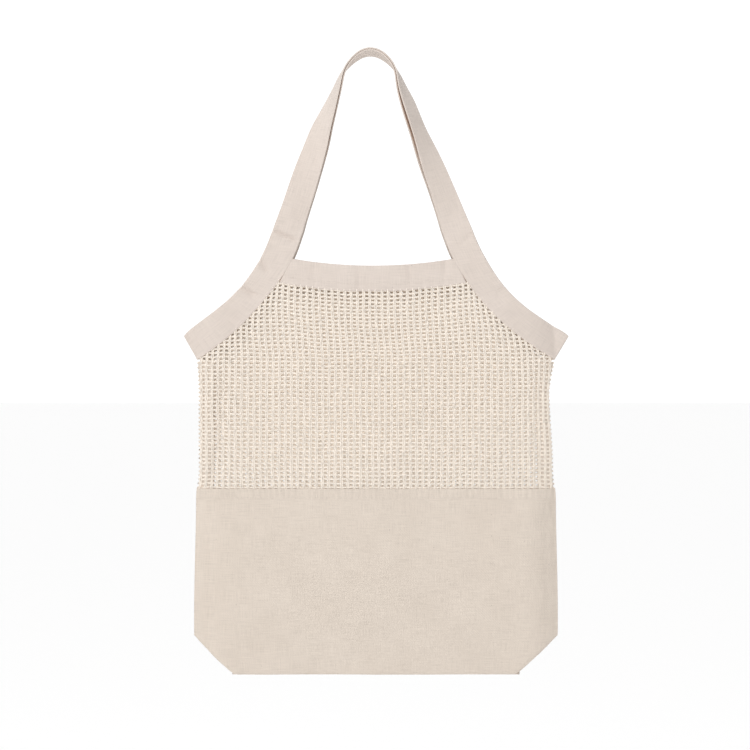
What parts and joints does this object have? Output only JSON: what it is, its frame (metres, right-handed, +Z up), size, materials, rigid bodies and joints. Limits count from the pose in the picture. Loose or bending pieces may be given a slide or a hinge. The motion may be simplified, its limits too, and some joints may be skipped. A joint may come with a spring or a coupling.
{
  "type": "mesh produce bag",
  "caption": "Unbleached cotton tote with an open net upper, a plain canvas lower, folding side gussets, a tucked base and two long handles.",
  "frame": {"origin": "hanging point: underside of the handle loop's top, on the bag's centre plane", "axes": "+Z up along the hanging bag, front wall towards -Y, +X to the right seen from the front"},
  "size_m": [0.3932, 0.0332, 0.651],
  "materials": {
    "cotton_canvas": "plain-woven unbleached canvas, matt",
    "cotton_tape": "folded canvas tape, matt, stitched edges",
    "cotton_net": "open leno net of soft spun cotton yarn"
  },
  "bodies": {
    "back_wall": {"back_canvas_wall": "cotton_canvas", "back_canvas_hem": "cotton_canvas", "back_net_wall": "cotton_net", "back_top_band": "cotton_tape", "back_left_armhole_binding": "cotton_tape", "back_right_armhole_binding": "cotton_tape"},
    "left_back_gusset": {"left_back_canvas_gusset": "cotton_canvas", "left_back_net_gusset": "cotton_net", "left_back_binding_end": "cotton_tape"},
    "left_front_gusset": {"left_front_canvas_gusset": "cotton_canvas", "left_front_net_gusset": "cotton_net", "left_front_binding_end": "cotton_tape", "left_side_seam": "cotton_tape", "left_binding_tip": "cotton_tape"},
    "front_wall": {"front_canvas_wall": "cotton_canvas", "front_canvas_hem": "cotton_canvas", "front_net_wall": "cotton_net", "front_top_band": "cotton_tape", "front_left_armhole_binding": "cotton_tape", "front_right_armhole_binding": "cotton_tape"},
    "right_front_gusset": {"right_front_canvas_gusset": "cotton_canvas", "right_front_net_gusset": "cotton_net", "right_front_binding_end": "cotton_tape", "right_side_seam": "cotton_tape", "right_binding_tip": "cotton_tape"},
    "right_back_gusset": {"right_back_canvas_gusset": "cotton_canvas", "right_back_net_gusset": "cotton_net", "right_back_binding_end": "cotton_tape"},
    "front_base": {"front_base_half": "cotton_canvas", "bottom_seam": "cotton_tape"},
    "back_base": {"back_base_half": "cotton_canvas"},
    "left_front_corner": {"left_front_corner": "cotton_canvas"},
    "left_back_corner": {"left_back_corner": "cotton_canvas"},
    "right_front_corner": {"right_front_corner": "cotton_canvas"},
    "right_back_corner": {"right_back_corner": "cotton_canvas"},
    "front_handle": {"front_handle": "cotton_tape"},
    "back_handle": {"back_handle": "cotton_tape"}
  },
  "joints": [
    {"name": "gusset_opening", "type": "hinge", "parent": "back_wall", "child": "left_back_gusset", "pos_m": [-0.15, 0.01, -0.646], "axis": [0, 0, 1], "range_deg": [0, 75]},
    {"name": "left_side_fold", "type": "hinge", "parent": "left_back_gusset", "child": "left_front_gusset", "pos_m": [-0.18873, 0, -0.646], "axis": [0, 0, 1], "range_deg": [-151, 0]},
    {"name": "front_wall_fold", "type": "hinge", "parent": "left_front_gusset", "child": "front_wall", "pos_m": [-0.15, -0.01, -0.646], "axis": [0, 0, 1], "range_deg": [0, 76]},
    {"name": "right_front_fold", "type": "hinge", "parent": "front_wall", "child": "right_front_gusset", "pos_m": [0.15, -0.01, -0.646], "axis": [0, 0, 1], "range_deg": [0, 76]},
    {"name": "right_back_fold", "type": "hinge", "parent": "back_wall", "child": "right_back_gusset", "pos_m": [0.15, 0.01, -0.646], "axis": [0, 0, 1], "range_deg": [-76, 0]},
    {"name": "front_base_fold", "type": "hinge", "parent": "front_wall", "child": "front_base", "pos_m": [0, -0.01, -0.646], "axis": [1, 0, 0], "range_deg": [-76, 0]},
    {"name": "back_base_fold", "type": "hinge", "parent": "back_wall", "child": "back_base", "pos_m": [0, 0.01, -0.646], "axis": [1, 0, 0], "range_deg": [0, 76]},
    {"name": "left_front_corner_fold", "type": "hinge", "parent": "left_front_gusset", "child": "left_front_corner", "pos_m": [-0.15, -0.01, -0.646], "axis": [-0.6847, 0.1768, 0.7071], "range_deg": [0, 159.19]},
    {"name": "left_back_corner_fold", "type": "hinge", "parent": "left_back_gusset", "child": "left_back_corner", "pos_m": [-0.15, 0.01, -0.646], "axis": [-0.6847, -0.1768, 0.7071], "range_deg": [-159.19, 0]},
    {"name": "right_front_corner_fold", "type": "hinge", "parent": "right_front_gusset", "child": "right_front_corner", "pos_m": [0.15, -0.01, -0.646], "axis": [0.6847, 0.1768, 0.7071], "range_deg": [-159.19, 0]},
    {"name": "right_back_corner_fold", "type": "hinge", "parent": "right_back_gusset", "child": "right_back_corner", "pos_m": [0.15, 0.01, -0.646], "axis": [0.6847, -0.1768, 0.7071], "range_deg": [0, 159.19]},
    {"name": "front_handle_flop", "type": "hinge", "parent": "front_wall", "child": "front_handle", "pos_m": [0, -0.0112, -0.1955], "axis": [1, 0, 0], "range_deg": [0, 170]},
    {"name": "back_handle_flop", "type": "hinge", "parent": "back_wall", "child": "back_handle", "pos_m": [0, 0.0112, -0.1955], "axis": [-1, 0, 0], "range_deg": [0, 170]}
  ],
  "couplings": [
    {"joint": "left_side_fold", "follows": "gusset_opening", "ratio": -2},
    {"joint": "front_wall_fold", "follows": "gusset_opening", "ratio": 1},
    {"joint": "right_front_fold", "follows": "gusset_opening", "ratio": 1},
    {"joint": "right_back_fold", "follows": "gusset_opening", "ratio": -1},
    {"joint": "front_base_fold", "follows": "gusset_opening", "ratio": -1},
    {"joint": "back_base_fold", "follows": "gusset_opening", "ratio": 1},
    {"joint": "left_front_corner_fold", "follows": "gusset_opening", "ratio": 2.1092},
    {"joint": "left_back_corner_fold", "follows": "gusset_opening", "ratio": -2.1092},
    {"joint": "right_front_corner_fold", "follows": "gusset_opening", "ratio": -2.1092},
    {"joint": "right_back_corner_fold", "follows": "gusset_opening", "ratio": 2.1092}
  ]
}
